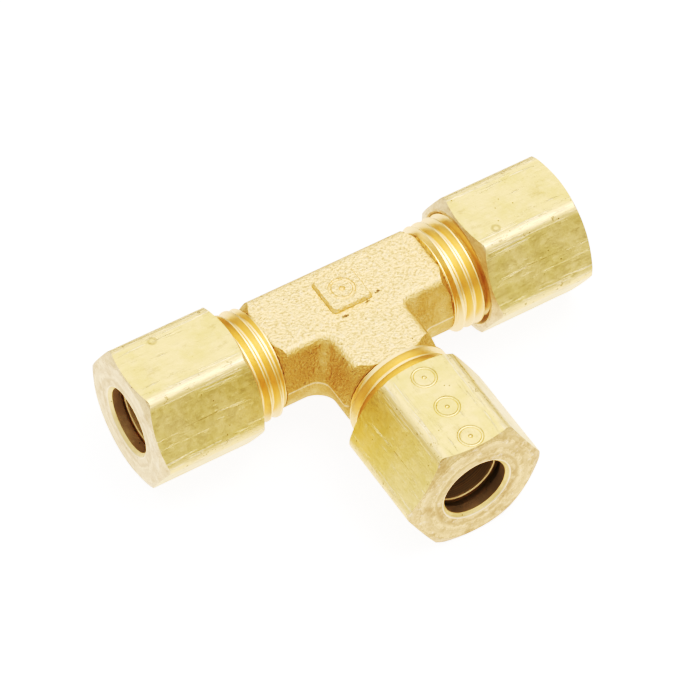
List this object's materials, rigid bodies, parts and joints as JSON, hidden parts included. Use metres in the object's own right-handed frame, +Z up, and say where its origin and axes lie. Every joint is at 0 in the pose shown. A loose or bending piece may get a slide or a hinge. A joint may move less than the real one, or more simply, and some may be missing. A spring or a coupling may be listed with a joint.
{
  "type": "compression union tee",
  "caption": "Brass compression union tee: forged T body with threaded ends, hexagonal compression nuts and loose tapered sleeves for small tube.",
  "frame": {"origin": "crossing of the run's axis and the branch's axis, at the middle of the run's waterway", "axes": "+X along the run, the branch points along -Y, +Z up out of the face with the raised pad"},
  "size_m": [0.047, 0.0304, 0.0126],
  "materials": {
    "forged_brass": "blasted forging, matte",
    "nut_brass": "machined bar, satin",
    "sleeve_brass": "turned, satin"
  },
  "bodies": {
    "tee": {"tee_body": "forged_brass"},
    "left_sleeve_group": {"left_sleeve": "sleeve_brass"},
    "left_nut_group": {"left_nut": "nut_brass"},
    "right_sleeve_group": {"right_sleeve": "sleeve_brass"},
    "right_nut_group": {"right_nut": "nut_brass"},
    "branch_sleeve_group": {"branch_sleeve": "sleeve_brass"},
    "branch_nut_group": {"branch_nut": "nut_brass"}
  },
  "joints": [
    {"name": "left_sleeve_travel", "type": "slide", "parent": "tee", "child": "left_sleeve_group", "axis": [-1, 0, 0], "range_m": [-0.00112, 0.00396]},
    {"name": "left_nut_turn", "type": "hinge", "parent": "left_sleeve_group", "child": "left_nut_group", "pos_m": [0, 0, 0], "axis": [-1, 0, 0], "range_deg": [-376, 1344]},
    {"name": "right_sleeve_travel", "type": "slide", "parent": "tee", "child": "right_sleeve_group", "axis": [1, 0, 0], "range_m": [-0.00122, 0.00375]},
    {"name": "right_nut_turn", "type": "hinge", "parent": "right_sleeve_group", "child": "right_nut_group", "pos_m": [0, 0, 0], "axis": [1, 0, 0], "range_deg": [-413, 1273]},
    {"name": "branch_sleeve_travel", "type": "slide", "parent": "tee", "child": "branch_sleeve_group", "axis": [0, -1, 0], "range_m": [-0.00032, 0.00421]},
    {"name": "branch_nut_turn", "type": "hinge", "parent": "branch_sleeve_group", "child": "branch_nut_group", "pos_m": [0, 0, 0], "axis": [0, -1, 0], "range_deg": [-104, 1429]}
  ],
  "couplings": [
    {"joint": "left_sleeve_travel", "follows": "left_nut_turn", "m_per_rad": 0.00016844},
    {"joint": "right_sleeve_travel", "follows": "right_nut_turn", "m_per_rad": 0.00016844},
    {"joint": "branch_sleeve_travel", "follows": "branch_nut_turn", "m_per_rad": 0.00016844}
  ]
}
